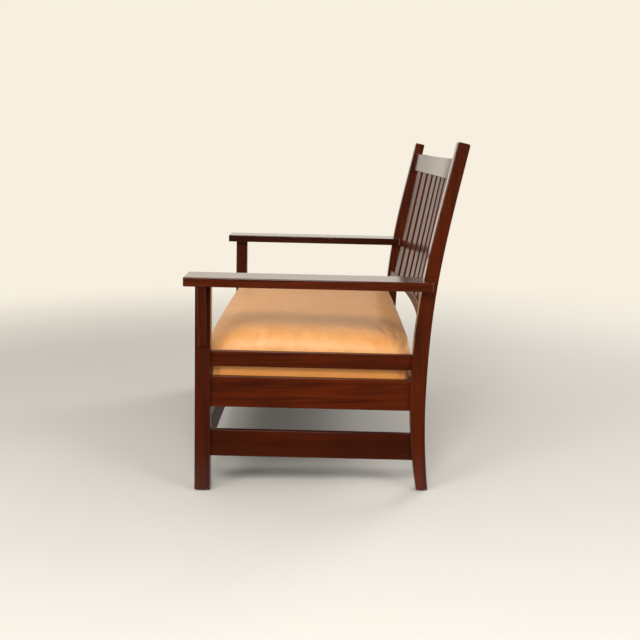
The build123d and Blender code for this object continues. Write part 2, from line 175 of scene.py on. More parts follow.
def maths(tree: Tree, operation: str, *values: Socket | float) -> Socket:
    """Gives what one operation makes of its values."""
    return add_node(tree, "ShaderNodeMath", dict(enumerate(values)), operation=operation).outputs[0]


def tinted(tree: Tree, share: Socket, first: Socket | str, second: Socket | str) -> Socket:
    """Mixes two colours, each a socket or a hex code; the share is that of the second."""
    first, second = (linear(c) if isinstance(c, str) else c for c in (first, second))
    return add_node(tree, "ShaderNodeMix", {0: share, 6: first, 7: second}, data_type="RGBA").outputs[2]


def relief(tree: Tree, height: Socket, distance_mm: float, **more: Socket | float) -> Socket:
    """Gives the normal of a bumped surface; more holds further inputs of the bump by name."""
    return add_node(tree, "ShaderNodeBump", {"Height": height, "Distance": distance_mm * MM,
                                             **more}).outputs["Normal"]


def new_material(name: str) -> tuple[bpy.types.Material, Tree, bpy.types.Node]:
    """Makes an empty material.

    Args:
        name: the material's name.

    Returns:
        The material, its node tree and its shader.
    """
    material = bpy.data.materials.new(name)
    material.use_nodes = True
    tree = material.node_tree
    tree.nodes.clear()
    shader = add_node(tree, "ShaderNodeBsdfPrincipled")
    add_node(tree, "ShaderNodeOutputMaterial", {"Surface": shader.outputs["BSDF"]})
    return material, tree, shader


def set_material(piece: Piece, material: bpy.types.Material) -> None:
    """Gives a piece one material in place of what it has."""
    piece.data.materials.clear()
    piece.data.materials.append(material)


class Grain(Enum):
    """The way a board's grain runs, as the turn in degrees that lays it along X."""

    ALONG = (0.0, 0.0, 0.0)
    ACROSS = (0.0, 0.0, 90.0)
    UPRIGHT = (0.0, 90.0, 0.0)
    RAKED = (0.0, 90.0, -12.0)


@dataclass(frozen=True)
class Figure:
    """One part of a wood's figure: noise drawn out along the grain."""

    length_mm: float
    width_mm: float
    detail: float
    bend: float = 0.0


@dataclass(frozen=True)
class Wood:
    """A sawn and planed wood with its stain and its coat."""

    title: str
    deep: str
    body: str
    flame: str
    rubbed: str
    pore_share: float
    roughness: float
    coat: float
    coat_roughness: float
    ribbon: Figure = Figure(520, 17, 2.0, 0.8)
    streak: Figure = Figure(120, 2.6, 3.0, 0.3)
    pore: Figure = Figure(9, 0.8, 1.0)
    blotch: Figure = Figure(210, 160, 2.0)
    handling: Figure = Figure(38, 24, 3.0)
    ribbon_span: Span = (0.26, 0.66)
    streak_span: Span = (0.40, 0.75)
    streak_share: float = 0.30
    pore_span: Span = (0.60, 0.68)
    rubbed_share: float = 0.8
    edge_mm: float = 2.0
    edge_samples: int = 4
    edge_span: Span = (0.99, 0.88)     # how square the eased surface is to the flat one, where rubbing shows
    sheen_steps: Span = (-0.04, 0.06)  # how much smoother and rougher handling leaves it
    relief_mm: float = 0.10
    refraction: float = 1.5
    under_coat: float = 0.04           # the stained fibres themselves shine little
    board_step: float = 3.7

    def make(self, grain: Grain, board: int, soaked: float = 0.0,
             lacquered: float = 1.0) -> bpy.types.Material:
        """Makes the material of one board.

        Args:
            grain: the way the board's grain runs.
            board: a number that picks another part of the figure for each board.
            soaked: how much more of the stain this board took up than the palest, from 0 to 1.
            lacquered: how much of the full coat it got.

        Returns:
            The material.
        """
        material, tree, shader = new_material(f"{self.title}_{board}")
        shift = board * self.board_step
        turned = add_node(tree, "ShaderNodeMapping", {
            "Vector": object_place(tree), "Location": (shift, shift / 2, -shift),
            "Rotation": tuple(math.radians(a) for a in grain.value)}).outputs["Vector"]

        def pattern(figure: Figure) -> Socket:
            """Draws one part of the figure on the board."""
            long, wide = (1 / (mm * MM) for mm in (figure.length_mm, figure.width_mm))
            return noise(tree, stretched(tree, turned, (long, wide, wide)), 1.0, figure.detail, figure.bend)

        streak, handled = pattern(self.streak), pattern(self.handling)
        ribbons = spread(tree, pattern(self.ribbon), self.ribbon_span)
        streaks = spread(tree, streak, self.streak_span, (0.0, self.streak_share))
        uneven = spread(tree, pattern(self.blotch), MOST, (soaked, (1 + soaked) / 2))
        pores = maths(tree, "MULTIPLY", spread(tree, pattern(self.pore), self.pore_span), self.pore_share)
        figured = tinted(tree, streaks, tinted(tree, ribbons, self.deep, self.body), self.flame)
        stained = tinted(tree, pores, tinted(tree, uneven, figured, self.deep), self.deep)
        # Where the eased edges are touched most, the stain has rubbed through to a warmer brown
        eased = add_node(tree, "ShaderNodeBevel", {"Radius": self.edge_mm * MM},
                         samples=self.edge_samples).outputs["Normal"]
        flat = add_node(tree, "ShaderNodeNewGeometry").outputs["Normal"]
        square = add_node(tree, "ShaderNodeVectorMath", {0: eased, 1: flat}, operation="DOT_PRODUCT")
        edge = spread(tree, square.outputs["Value"], self.edge_span, (0.0, self.rubbed_share))
        sheen = tuple(self.roughness + step for step in self.sheen_steps)
        height = maths(tree, "SUBTRACT", streak, pores)
        feed(tree, shader, {
            "Base Color": tinted(tree, maths(tree, "MULTIPLY", edge, handled), stained, self.rubbed),
            "Roughness": spread(tree, handled, MOST, sheen),
            "Normal": relief(tree, height, self.relief_mm, Strength=1.0, Normal=eased),
            "IOR": self.refraction, "Specular IOR Level": self.under_coat,
            "Coat Weight": self.coat * lacquered, "Coat Roughness": self.coat_roughness})
        return material


# Mahogany, planed, stained dark red-brown and rubbed to a satin lacquer: the figure shows through only as
# faint ribbons, and low light slides along the faces as a pale haze
MAHOGANY = Wood("mahogany_stained_satin_lacquered", "#2C0D03", "#571D03", "#7C2E06", "#8A390C",
                0.35, 0.38, 1.0, 0.13)
# Inner poplar, sawn and given one thin wash of the same stain: matt, with the tool marks left
POPLAR = Wood("poplar_sawn_thin_stained", "#4A2A1C", "#6E452D", "#8A5C3C", "#A27650", 0.4, 0.62, 0.0, 0.5)
# Pine, planed and left bare for the seat's hidden frame: pale, with soft yellow bands
PINE = Wood("pine_planed_bare", "#B98E5B", "#D8B481", "#E6C998", "#E6C998", 0.2, 0.6, 0.0, 0.5)


@dataclass(frozen=True)
class Hide:
    """A smooth tan cowhide, drum dyed and lightly waxed."""

    title: str = "cowhide_smooth_tan_waxed"
    body: str = "#DB9652"
    pale: str = "#E5A666"
    shade: str = "#C98544"
    painted_shade_tone: str = "#C87F33"           # painted shade: deeper and more saturated low on the sides, below the end rails, where they shade it
    painted_shade_heights: Span = (0.355, 0.425)  # the heights over which the painted shade gives way to the lit tone
    painted_shade_share: float = 0.8
    mottle_mm: float = 60.0
    mottle_detail: float = 4.0
    mottle_bend: float = 0.4
    mottle_span: Span = (0.35, 0.68)
    pull_mm: tuple[float, float, float] = (45.0, 15.0, 120.0)
    pull_detail: float = 3.0
    pull_span: Span = (0.5, 0.75)
    pull_share: float = 0.22
    pull_relief_mm: float = 1.2
    pull_strength: float = 0.5
    grain_mm: float = 1.6              # real pores are about 0.5 mm; drawn coarser so that they show
    grain_relief_mm: float = 0.12
    grain_strength: float = 0.6
    crease_mm: float = 34.0
    crease_detail: float = 3.0
    crease_bend: float = 0.02
    crease_width: float = 0.06
    crease_share: float = 0.10
    crease_sink: float = -1.2          # against the grain's height
    roughness: float = 0.46
    sheen_step: float = 0.05
    refraction: float = 1.48

    def make(self) -> bpy.types.Material:
        """Makes the leather."""
        material, tree, shader = new_material(self.title)
        place = object_place(tree)
        mottle = noise(tree, place, 1 / (self.mottle_mm * MM), self.mottle_detail, self.mottle_bend)
        pulled = stretched(tree, place, tuple(1 / (mm * MM) for mm in self.pull_mm))
        pull = noise(tree, pulled, 1.0, self.pull_detail)
        bent = noise(tree, place, 1 / (self.crease_mm * MM), self.crease_detail, output="Color")
        warped = add_node(tree, "ShaderNodeMix", {0: self.crease_bend, 4: place, 5: bent}, data_type="VECTOR")
        crease = cells(tree, warped.outputs[1], self.crease_mm, "DISTANCE_TO_EDGE")
        creased = spread(tree, crease, (0.0, self.crease_width), (1.0, 0.0))
        ground = tinted(tree, spread(tree, mottle, self.mottle_span), self.body, self.pale)
        streaks = spread(tree, pull, self.pull_span, (0.0, self.pull_share))
        lined = maths(tree, "MULTIPLY", creased, self.crease_share)
        worn = tinted(tree, lined, tinted(tree, streaks, ground, self.shade), self.shade)
        # Painted shade: below the end rails' tops the leather is drawn deeper and more saturated, as it looks
        # in the rails' shade
        height = add_node(tree, "ShaderNodeSeparateXYZ", {"Vector": place}).outputs["Z"]
        painted_shade_mask = spread(tree, height, self.painted_shade_heights, (self.painted_shade_share, 0.0), soft=True)
        sunk = maths(tree, "MULTIPLY_ADD", creased, self.crease_sink, cells(tree, place, self.grain_mm))
        fine = relief(tree, sunk, self.grain_relief_mm, Strength=self.grain_strength)
        sheen = (self.roughness - self.sheen_step, self.roughness + self.sheen_step)
        feed(tree, shader, {
            "Base Color": tinted(tree, painted_shade_mask, worn, self.painted_shade_tone),
            "Roughness": spread(tree, mottle, MOST, sheen),
            "Normal": relief(tree, pull, self.pull_relief_mm, Strength=self.pull_strength, Normal=fine),
            "IOR": self.refraction})
        return material


# Cowhide, drum dyed a light tan and waxed: smooth, a soft broad sheen, paler where it is pulled tight
COWHIDE = Hide()


@dataclass(frozen=True)
class Weave:
    """A plain-woven cloth."""

    title: str
    yarn: str
    # painted shade: the colour of the low places between the threads
    painted_gap_shade: str
    thread_mm: float
    roughness: float = 0.9
    fuzz: float = 0.2
    waver: float = 0.6
    waver_detail: float = 2.0
    slub_threads: float = 4.0          # how many threads wide the thick places in the yarn are
    slub_detail: float = 4.0
    raised_span: Span = (0.4, 1.1)

    def make(self) -> bpy.types.Material:
        """Makes the cloth."""
        material, tree, shader = new_material(self.title)
        place = object_place(tree)
        # A wave texture of scale 1 has 20 / tau bands to the metre
        per_thread = math.tau / (self.thread_mm * MM) / 20
        inputs = {"Vector": place, "Scale": per_thread, "Distortion": self.waver,
                  "Detail": self.waver_detail}
        waves = [add_node(tree, "ShaderNodeTexWave", inputs, bands_direction=way).outputs["Fac"]
                 for way in ("X", "Y")]
        slub = noise(tree, place, 1 / (self.slub_threads * self.thread_mm * MM), self.slub_detail)
        raised = maths(tree, "ADD", maths(tree, "MULTIPLY", *waves), slub)
        feed(tree, shader, {
            # Painted shade: where the weave lies low it is drawn in the darker colour of the gaps
            "Base Color": tinted(tree, spread(tree, raised, self.raised_span), self.painted_gap_shade, self.yarn),
            "Normal": relief(tree, raised, self.thread_mm / 4),
            "Roughness": self.roughness, "Sheen Weight": self.fuzz})
        return material


# Jute webbing, woven in a close plain weave 50 mm wide: coarse, dry and straw brown
JUTE = Weave("jute_webbing_woven", "#B79565", "#6E5230", 3.0)
# Hessian, woven loosely from the same yarn: an open, hairy grid
HESSIAN = Weave("hessian_open_woven", "#B9A173", "#5E4A2C", 2.4)
# Cambric, cotton woven fine, dyed black and calendered: it hides the straps from below
CAMBRIC = Weave("cotton_cambric_black_woven", "#262524", "#0D0D0D", 1.2, 0.85, 0.1)


@dataclass(frozen=True)
class Foam:
    """Cut polyurethane foam, pale yellow with open cells."""

    title: str = "polyurethane_foam_cut"
    body: str = "#E6DCB6"
    # painted shade: the colour of the open cells' hollows
    painted_pit_shade: str = "#C2B382"
    cell_mm: float = 2.0
    roughness: float = 0.95

    def make(self) -> bpy.types.Material:
        """Makes the foam."""
        material, tree, shader = new_material(self.title)
        cell = cells(tree, object_place(tree), self.cell_mm)
        # Painted shade: the hollows of the cells are drawn darker than the cut walls
        feed(tree, shader, {"Base Color": tinted(tree, cell, self.painted_pit_shade, self.body),
                            "Normal": relief(tree, cell, self.cell_mm / 4), "Roughness": self.roughness})
        return material


# Polyurethane foam, cut from a block: matt pale yellow with open cells
FOAM = Foam()


@dataclass(frozen=True)
class Steel:
    """Pressed or turned steel with fine scratches."""

    title: str
    bright: str
    dull: str
    roughness: float
    scratch_mm: float = 1.5
    drawn_out: float = 12.0            # how many times longer than wide a scratch is
    detail: float = 5.0
    sheen_steps: Span = (-0.08, 0.12)
    relief_mm: float = 0.02

    def make(self) -> bpy.types.Material:
        """Makes the metal."""
        material, tree, shader = new_material(self.title)
        drawn = stretched(tree, object_place(tree), (1, self.drawn_out, self.drawn_out))
        scratch = noise(tree, drawn, 1 / (self.scratch_mm * MM * self.drawn_out), self.detail)
        sheen = tuple(self.roughness + step for step in self.sheen_steps)
        feed(tree, shader, {"Base Color": tinted(tree, scratch, self.dull, self.bright),
                            "Roughness": spread(tree, scratch, MOST, sheen),
                            "Normal": relief(tree, scratch, self.relief_mm), "Metallic": 1.0})
        return material


# Mild steel, pressed and left in its dark mill skin: the glides under the feet
MILL_STEEL = Steel("mild_steel_pressed_dark", "#6B6560", "#3A3632", 0.42)
# Zinc-plated steel, turned: grey-white with a dull shine, for screws and staples
ZINC = Steel("zinc_plated_steel_turned", "#B9BABA", "#86888A", 0.34)


@dataclass
class GluedFrame:
    """The fixed woodwork: posts, rails, slats, arms, corbels, ledges and blocks."""

    show_wood: Wood
    inner_wood: Wood
    glide_steel: Steel
    screw_steel: Steel

    # Each table gives the beginnings of the names of the nodes that get each value
    GRAINS = {
        Grain.UPRIGHT: ("front_post", "rear_post", "corbel_"),
        Grain.RAKED: ("back_slat",),
        Grain.ACROSS: ("arm", "upper_end_rail", "lower_end_rail", "end_stretcher"),
        Grain.ALONG: ("crest_rail", "lower_back_rail", "front_seat_rail", "back_seat_rail",
                      "front_stretcher"),
    }
    INNER_GRAINS = {
        Grain.ACROSS: ("seat_cleat_left", "seat_cleat_right"),
        Grain.ALONG: ("seat_cleat_front", "seat_cleat_back", "corner_block", "corbel_dowels"),
    }
    SOAKED = {0.2: "rear_post_right", 0.3: "upper_end_rail", 0.4: "corbel_", 0.5: "front_post_right",
              0.65: "end_stretcher", 0.75: "arm_left"}
    LACQUERED = {0.25: "front_stretcher", 0.3: "end_stretcher", 0.45: "back_slat",
                 0.4: ("lower_end_rail", "upper_end_rail", "lower_back_rail")}

    @staticmethod
    def matching(table: dict, name: str, default: object = None) -> object:
        """Gives the value in a table for a node's name, or the default."""
        return next((value for value, starts in table.items() if name.startswith(starts)), default)

    def dress(self, nodes: dict[str, Piece]) -> None:
        """Gives every wooden and metal node of the frame its finish.

        Args:
            nodes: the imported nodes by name.
        """
        glide = self.glide_steel.make()
        screw = self.screw_steel.make()
        for board, (name, node) in enumerate(sorted(nodes.items())):
            inner, shown = (self.matching(table, name) for table in (self.INNER_GRAINS, self.GRAINS))
            if name.startswith("foot_glide"):
                set_material(node, glide)
            elif name.endswith("block_screws") or name == "cleat_screws":
                set_material(node, screw)
            elif inner:
                set_material(node, self.inner_wood.make(inner, board))
            elif shown:
                soaked = self.matching(self.SOAKED, name, 0.0)
                lacquered = self.matching(self.LACQUERED, name, 1.0)
                set_material(node, self.show_wood.make(shown, board, soaked, lacquered))
        log.info("frame: %d nodes dressed", len(nodes))


def places_in_square(piece: Piece) -> np.ndarray:
    """Gives the places of a piece's points in the frame's own square, before its lean."""
    return np.array([TO_SQUARE @ vert.co for vert in piece.data.vertices])


def box_in_square(node: str) -> Box:
    """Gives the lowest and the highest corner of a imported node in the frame's own square."""
    spots = places_in_square(frame["nodes"][node])
    return Vector(spots.min(0)), Vector(spots.max(0))


def islands(node: str) -> list[Box]:
    """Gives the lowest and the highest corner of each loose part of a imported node."""
    mesh = bmesh.new()
    mesh.from_mesh(frame["nodes"][node].data)
    bmesh.ops.remove_doubles(mesh, verts=mesh.verts, dist=NEAR)
    left, boxes = set(mesh.verts), []
    while left:
        found, reach = [], [left.pop()]
        while reach:
            vert = reach.pop()
            found.append(TO_SQUARE @ vert.co)
            near = {edge.other_vert(vert) for edge in vert.link_edges} & left
            left -= near
            reach += near
        spots = np.array(found)
        boxes.append((Vector(spots.min(0)), Vector(spots.max(0))))
    mesh.free()
    return sorted(boxes, key=lambda pair: tuple(pair[0]))


def add_object(name: str, data: bpy.types.ID) -> Piece:
    """Puts an object with its mesh, lamp or camera into the scene."""
    item = bpy.data.objects.new(name, data)
    bpy.context.scene.collection.objects.link(item)
    return item


def mesh_object(name: str, mesh: bmesh.types.BMesh) -> Piece:
    """Makes an object of a mesh, which is freed."""
    data = bpy.data.meshes.new(name)
    mesh.to_mesh(data)
    mesh.free()
    return add_object(name, data)


def new_piece(name: str, mesh: bmesh.types.BMesh, smooth: bool = True) -> Piece:
    """Turns a mesh drawn in the frame's square into a piece in its real, leaned place.

    Args:
        name: the piece's name.
        mesh: the mesh; it is freed.
        smooth: whether its faces are shaded smooth.

    Returns:
        The piece.
    """
    mesh.transform(TO_WORLD)
    for face in mesh.faces:
        face.smooth = smooth
    return mesh_object(name, mesh)


def skin(mesh: bmesh.types.BMesh, rings: list[list[bmesh.types.BMVert]]) -> None:
    """Joins rings of points, one after another, and closes both ends."""
    for a, b in zip(rings, rings[1:]):
        for i in range(len(a)):
            j = (i + 1) % len(a)
            mesh.faces.new((a[i], a[j], b[j], b[i]))
    mesh.faces.new(reversed(rings[0]))
    mesh.faces.new(rings[-1])


def held_in(value: float, low: float = 0.0, high: float = 1.0) -> float:
    """Holds a value between low and high."""
    return min(max(value, low), high)


def smooth_step(value: float, low: float, high: float) -> float:
    """Runs from 0 at low to 1 at high with a soft start and end."""
    share = held_in((value - low) / (high - low))
    return share * share * (3 - 2 * share)


def rounded(radius: float, gone: float) -> float:
    """Gives how far a quarter-round edge has drawn in at a distance from the face it ends on."""
    left = held_in(radius - gone, 0.0, radius)
    return radius - math.sqrt(radius ** 2 - left ** 2)


def baked(piece: Piece) -> Piece:
    """Applies every modifier of a piece."""
    graph = bpy.context.evaluated_depsgraph_get()
    shaped = bpy.data.meshes.new_from_object(piece.evaluated_get(graph))
    piece.modifiers.clear()
    old = piece.data
    piece.data = shaped
    bpy.data.meshes.remove(old)
    return piece


def finish_piece(piece: Piece, material: bpy.types.Material, slot: str, *nodes: str) -> None:
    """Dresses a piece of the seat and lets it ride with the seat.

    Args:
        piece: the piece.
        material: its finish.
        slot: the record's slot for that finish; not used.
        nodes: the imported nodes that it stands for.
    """
    set_material(piece, material)
    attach(piece, "seat")
    if nodes:
        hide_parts(*nodes)
    log.info("seat: %s, %d faces", piece.name, len(piece.data.polygons))


@dataclass
class LooseSeat:
    """The form of the upholstered seat: a leather cover over a foam pad."""

    edge_width: float = 110 * MM       # of the rounding along the front and the back
    edge_height: float = 42 * MM
    dome: float = 2 * MM               # how far the middle of the top stands over its edges
    front_height: float = 160 * MM     # from the seat's underside to where the front starts to round over
    back_height: float = 150 * MM      # and the same at the back, which is lower
    draw: float = 1 * MM               # how far the middle of each long side pulls in
    side_swell: float = 10 * MM        # how far the long sides stand out over their rails
    swell_rise: float = 50 * MM        # the height in which they do
    long_crown: float = 12 * MM        # how far the middle of the length stands over its ends
    crown_power: float = 2.5
    corner_radius: float = 14 * MM     # of the upright corners
    corner_sink: float = 44 * MM       # how far the top falls away at them
    sink_width: float = 230 * MM       # how far in from a long side that starts
    back_sink_share: float = 0.6       # how much of that there is at the back
    corner_reach: float = 170 * MM
    end_roll: float = 62 * MM          # of the top where it turns down at the ends
    end_rise: float = 30 * MM          # the height over the end rails in which the ends come out
    slack: float = 1 * MM              # the form starts this much smaller and swells into its cover
    cap: float = 3 * MM                # the furthest that the swelling may move a point
    voxel: float = 8 * MM
    calm_factor: float = 0.5           # of the smoothing that evens out the voxels' steps
    calm_rounds: int = 4
    frames: int = 20
    hold_rise: Span = (10 * MM, 60 * MM)     # where the hold on the lower edge eases off
    loose_end: float = 160 * MM        # how far in from the ends and the sides the hide is cut loose
    loose_side: float = 200 * MM
    bulge: float = 3 * MM              # how far the leather may stand out past its form
    post_room: float = 2 * MM          # kept between the leather and the posts
    hide_thickness: float = 2 * MM
    foam_inset: float = 12 * MM
    flap: float = 45 * MM
    pleat_depth: float = 3.2 * MM
    pleat_width: float = 5 * MM
    pleat_inset: float = 15 * MM
    pleat_fade: float = 70 * MM        # the height in which the pleats run out
    pleat_lean: float = 10 * MM
    pleat_roll: float = 0.35           # how proud the leather stands beside a pleat, as a share of its depth
    fold_depth: float = 3.2 * MM
    front_fold_share: float = 0.3      # the folds are fainter at the front
    fold_width: float = 9 * MM
    fold_start: Span = (8 * MM, 45 * MM)     # from an end
    fold_fade: float = 90 * MM
    fold_reach: float = 260 * MM       # how far the folds run in from an end
    steps: int = 14

    # Each soft fold's distance from the edge's start, its widening along its run and its share of the depth
    FOLDS = ((20 * MM, 0.08, 1.0), (46 * MM, 0.20, 0.8), (80 * MM, 0.34, 0.55))
    CLOTH = {
        "quality": 6, "mass": 0.4, "tension_stiffness": 25, "compression_stiffness": 20,
        "shear_stiffness": 12, "bending_stiffness": 4, "use_pressure": True, "uniform_pressure_force": 2.5,
        "vertex_group_mass": "held", "vertex_group_shrink": "loose", "shrink_min": 0.0, "shrink_max": -0.05,
    }

    def __post_init__(self) -> None:
        """Reads the space that the seat fills, and the rails round it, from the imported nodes."""
        self.low, self.high = box_in_square("leather_cover")
        self.half_long = self.high.x
        self.middle = (self.low.y + self.high.y) / 2
        self.half_deep = (self.high.y - self.low.y) / 2
        self.front_shoulder = self.low.z + self.front_height
        self.back_shoulder = self.low.z + self.back_height
        post_low, post_high = box_in_square("front_post_right")
        self.post_in, self.post_back = post_low.x, post_high.y
        self.long_rail_top = box_in_square("front_seat_rail")[1].z
        self.end_rail_top = box_in_square("upper_end_rail_right")[1].z

    def outline(self, x: float, small: float) -> list[Vector]:
        """Draws the seat's profile at a place along it.

        Args:
            x: the place, from the middle.
            small: how much smaller than the finished seat the form is.

        Returns:
            The profile's points, from the front bottom corner over the top to the rear one.
        """
        gone = self.half_long - small - abs(x)
        inset = small + rounded(self.corner_radius, gone)
        fall = rounded(self.end_roll, gone) - rounded(self.corner_radius, gone)
        full = 1 - abs(x / self.half_long) ** self.crown_power
        low_half = self.half_deep - inset - self.draw * full
        half = low_half + self.side_swell * smooth_step(gone, self.corner_radius / 3, 2 * self.corner_radius)
        wide, tall = self.edge_width - inset, self.edge_height - inset
        bottom = self.low.z + small
        rise = self.long_crown * full - fall - small

        def side(way: int, shoulder: float) -> list[Vector]:
            """One upright side and its rounding; way is -1 at the front and 1 at the back."""
            heights = [bottom + (shoulder - bottom) * i / (2 * self.steps) for i in range(2 * self.steps)]
            upright = [Vector((way * (low_half + (half - low_half) * self.swell_at(z)), z)) for z in heights]
            turns = [math.pi / 2 * i / self.steps for i in range(self.steps + 1)]
            return upright + [Vector((way * (half - wide * (1 - math.cos(a))), shoulder + tall * math.sin(a)))
                              for a in turns]

        front, back = side(-1, self.front_shoulder + rise), side(1, self.back_shoulder + rise)
        count = 4 * self.steps
        top = [front[-1].lerp(back[-1], i / count) + Vector((0, self.dome * math.sin(math.pi * i / count)))
               for i in range(1, count)]
        sink = self.corner_sink * (1 - smooth_step(gone, 0, self.corner_reach))
        points = []
        for y, z in front + top + back[::-1]:
            near = held_in(1 - (half - abs(y)) / self.sink_width)
            away = 1 - math.sqrt(1 - near ** 2)
            share = 1 if y < 0 else self.back_sink_share
            points.append(Vector((x, self.middle + y, z - sink * share * away * self.swell_at(z))))
        return points

    def depths(self, spot: Vector | np.ndarray) -> Span:
        """Gives how far a place lies in from the nearer end and from the nearer long side."""
        return self.half_long - abs(spot[0]), self.half_deep - abs(spot[1] - self.middle)

    def swell_at(self, z: float) -> float:
        """Gives how much of the sides' swell there is at a height."""
        return smooth_step(z, self.long_rail_top, self.long_rail_top + self.swell_rise)

    def shoulder_at(self, y: float) -> float:
        """Gives the height where the rounding starts, between the front and the back."""
        share = held_in((y - self.low.y) / (self.high.y - self.low.y))
        return self.front_shoulder + (self.back_shoulder - self.front_shoulder) * share

    def form(self, small: float) -> bmesh.types.BMesh:
        """Builds the closed form of the seat, smaller than the finished one by small."""
        end = self.half_long - small
        rounding = [self.end_roll * (1 - math.cos(math.pi / 2 * i / self.steps)) for i in range(self.steps)]
        spans = 10 * self.steps
        straight = 2 * (end - self.end_roll)
        stations = [-end + d for d in rounding]
        stations += [-end + self.end_roll + straight * i / spans for i in range(spans + 1)]
        stations += [end - d for d in reversed(rounding)]
        mesh = bmesh.new()
        skin(mesh, [[mesh.verts.new(p) for p in self.outline(x, small)] for x in stations])
        bmesh.ops.recalc_face_normals(mesh, faces=mesh.faces)
        return mesh

    def remeshed(self, small: float) -> Piece:
        """Gives the closed form an even net of faces for the cloth to move."""
        piece = new_piece("seat_cover", self.form(small))
        net = piece.modifiers.new("even", "REMESH")
        net.mode, net.voxel_size = "VOXEL", self.voxel
        calm = piece.modifiers.new("calm", "SMOOTH")
        calm.factor, calm.iterations = self.calm_factor, self.calm_rounds
        return baked(piece)

    def swell(self, piece: Piece) -> None:
        """Blows the cover up as cloth from inside, its underside held, and keeps the result."""
        start = places_in_square(piece)
        held = piece.vertex_groups.new(name="held")
        loose = piece.vertex_groups.new(name="loose")
        for index, spot in enumerate(start):
            held.add([index], 1 - smooth_step(spot[2] - self.low.z, *self.hold_rise), "REPLACE")
            ends, sides = (1 - min(away, reach) / reach
                           for away, reach in zip(self.depths(spot), (self.loose_end, self.loose_side)))
            loose.add([index], ends * sides, "REPLACE")
        cloth = piece.modifiers.new("hide", "CLOTH")
        for name, value in self.CLOTH.items():
            setattr(cloth.settings, name, value)
        cloth.settings.effector_weights.gravity = 0
        cloth.collision_settings.use_collision = False
        cloth.collision_settings.use_self_collision = False
        cloth.point_cache.frame_end = self.frames
        for step in range(1, self.frames + 1):
            bpy.context.scene.frame_set(step)
        baked(piece)
        bpy.context.scene.frame_set(1)
        moved = places_in_square(piece) - start
        far = np.linalg.norm(moved, axis=1)
        log.info("seat: cloth moved up to %.1f mm, %.1f on average", far.max() / MM, far.mean() / MM)
        held_back = np.minimum(1.0, self.cap / np.maximum(far, NEAR))
        for vert, spot in zip(piece.data.vertices, start + moved * held_back[:, None]):
            vert.co = TO_WORLD @ Vector(spot)
        piece.vertex_groups.clear()

    def settle_on_rails(self, piece: Piece) -> None:
        """Keeps the cover within the opening of the rails, and flat where it lies on its ledges."""
        for vert in piece.data.vertices:
            spot = TO_SQUARE @ vert.co
            risen = smooth_step(spot.z, self.end_rail_top, self.end_rail_top + self.end_rise)
            past_ends = self.half_long + self.bulge * risen
            past_sides = (self.side_swell + self.bulge) * self.swell_at(spot.z)
            spot.x = held_in(spot.x, -past_ends, past_ends)
            front, back = self.low.y - past_sides, self.high.y + past_sides
            if abs(spot.x) > self.post_in - self.post_room:
                front, back = self.post_back + self.post_room, self.high.y
            spot.y = held_in(spot.y, front, back)
            spot.z = max(spot.z, self.low.z)
            vert.co = TO_WORLD @ spot

    def pleat(self, piece: Piece) -> None:
        """Presses in the folds at the upright corners and the soft ones that run in from the ends."""
        piece.data.update()
        normals = [vert.normal.copy() for vert in piece.data.vertices]
        for vert, normal in zip(piece.data.vertices, normals):
            spot = TO_SQUARE @ vert.co
            top = self.shoulder_at(spot.y) + self.edge_height / 3
            from_end, from_side = self.depths(spot)
            sunk = self.soft_folds(spot, from_end, from_side)
            fade = 1 - smooth_step(spot.z, top - self.pleat_fade, top)
            lean_in = self.pleat_lean * (spot.z - self.low.z) / (top - self.low.z)
            for near, along in ((from_end, from_side), (from_side, from_end)):
                if near < self.corner_radius / 2 and fade > 0:
                    off = along - self.corner_radius - self.pleat_inset + lean_in
                    groove = math.exp(-(off / self.pleat_width) ** 2)
                    roll = math.exp(-((off + 2 * self.pleat_width) / (2 * self.pleat_width)) ** 2)
                    sunk += fade * self.pleat_depth * (groove - self.pleat_roll * roll)
            vert.co -= normal * sunk
        piece.data.update()

    def soft_folds(self, spot: Vector, from_end: float, from_side: float) -> float:
        """Finds how deep the long soft folds are at a place near the top of an end.

        Args:
            spot: the place, in the frame's square.
            from_end: its distance from the nearer end.
            from_side: its distance from the nearer long side.

        Returns:
            How far the leather sinks there.
        """
        shoulder = self.shoulder_at(spot.y)
        if from_end > self.fold_reach or spot.z < shoulder - self.edge_height / 2:
            return 0.0
        round_edge = from_side + spot.z - shoulder
        ends = (smooth_step(from_end, *self.fold_start)
                * (1 - smooth_step(from_end, self.fold_fade, self.fold_reach)))
        sunk = 0.0
        for start, widening, share in self.FOLDS:
            centre = start + widening * from_end
            sunk += share * math.exp(-((round_edge - centre) / self.fold_width) ** 2)
        return self.fold_depth * ends * sunk * (self.front_fold_share if spot.y < self.middle else 1)

    def cover(self) -> Piece:
        """Makes the leather cover, open below with its edges turned under."""
        piece = self.remeshed(self.slack)
        self.swell(piece)
        self.settle_on_rails(piece)
        fine = piece.modifiers.new("fine", "SUBSURF")
        fine.levels = fine.render_levels = 1
        baked(piece)
        self.pleat(piece)
        self.settle_on_rails(piece)
        mesh = bmesh.new()
        mesh.from_mesh(piece.data)
        under = []
        for face in mesh.faces:
            spot = TO_SQUARE @ face.calc_center_median()
            if min(self.depths(spot)) > self.flap and spot.z < self.low.z + self.voxel:
                under.append(face)
        bmesh.ops.delete(mesh, geom=under, context="FACES")
        rim = [edge for edge in mesh.edges if edge.is_boundary]
        up = TO_WORLD.to_3x3() @ Vector((0, 0, self.hide_thickness))
        raised = bmesh.ops.extrude_edge_only(mesh, edges=rim)["geom"]
        bmesh.ops.translate(mesh, vec=up, verts=[g for g in raised if isinstance(g, bmesh.types.BMVert)])
        mesh.to_mesh(piece.data)
        mesh.free()
        for face in piece.data.polygons:
            face.use_smooth = True
        return piece

